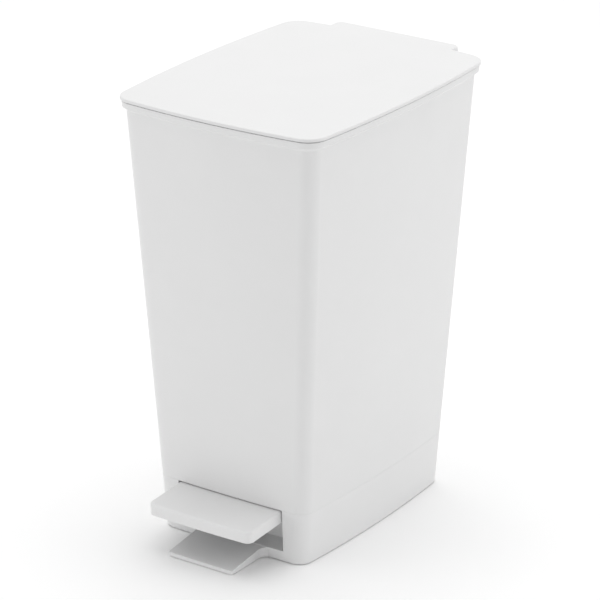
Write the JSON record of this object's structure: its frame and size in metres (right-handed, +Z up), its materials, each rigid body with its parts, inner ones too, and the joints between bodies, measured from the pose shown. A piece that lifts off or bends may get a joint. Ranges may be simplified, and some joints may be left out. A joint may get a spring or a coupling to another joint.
{
  "type": "pedal trash can",
  "caption": "Free-standing tapered bin with a foot pedal that lifts a rear-hinged flat lid through a lever, a push rod and a crank, over a lift-out inner bucket.",
  "frame": {"origin": "on the floor, under the middle of the whole footprint from the tread's front edge to the back of the lid's hinge tongue", "axes": "+Z up; the pedal is at the front towards -Y; the lid hinge is at the back towards +Y and runs along X"},
  "size_m": [0.2444, 0.3488, 0.45],
  "materials": {
    "white_plastic": "fine satin moulded polypropylene",
    "nylon": "plain moulded nylon",
    "steel": "zinc plated",
    "rubber": "matt moulded rubber"
  },
  "bodies": {
    "can": {"body_shell": "white_plastic", "base_tray": "white_plastic", "rubber_feet": "rubber", "base_screws": "steel", "inner_bucket": "white_plastic", "hinge_bracket": "white_plastic", "bracket_screws": "steel", "hinge_pin_left": "steel", "hinge_pin_right": "steel", "rod_guide_upper": "nylon", "rod_guide_lower": "nylon", "guide_screws": "steel", "axle_bush_left": "nylon", "axle_bush_right": "nylon"},
    "lid": {"lid_shell": "white_plastic", "lid_lever": "nylon", "lid_lever_screws": "steel", "crank_pin": "steel", "lid_bumpers": "rubber"},
    "rod": {"push_rod": "steel", "rod_head": "nylon", "rod_foot": "nylon"},
    "pedal": {"pedal_tread": "white_plastic", "pedal_lever": "steel", "tread_screws": "steel", "pivot_axle": "steel", "axle_clips": "steel", "lever_pad": "nylon"}
  },
  "joints": [
    {"name": "lid_hinge", "type": "hinge", "parent": "can", "child": "lid", "pos_m": [0, 0.164, 0.435], "axis": [-1, 0, 0], "range_deg": [0, 80]},
    {"name": "pedal_pivot", "type": "hinge", "parent": "can", "child": "pedal", "pos_m": [0, -0.04, 0.032], "axis": [1, 0, 0], "range_deg": [0, 12]},
    {"name": "rod_slide", "type": "slide", "parent": "can", "child": "rod", "axis": [0, 0.0627, 0.998], "range_m": [0, 0.0325]}
  ],
  "couplings": [
    {"joint": "pedal_pivot", "follows": "lid_hinge", "ratio": 0.15},
    {"joint": "rod_slide", "follows": "lid_hinge", "m_per_rad": 0.02327}
  ]
}
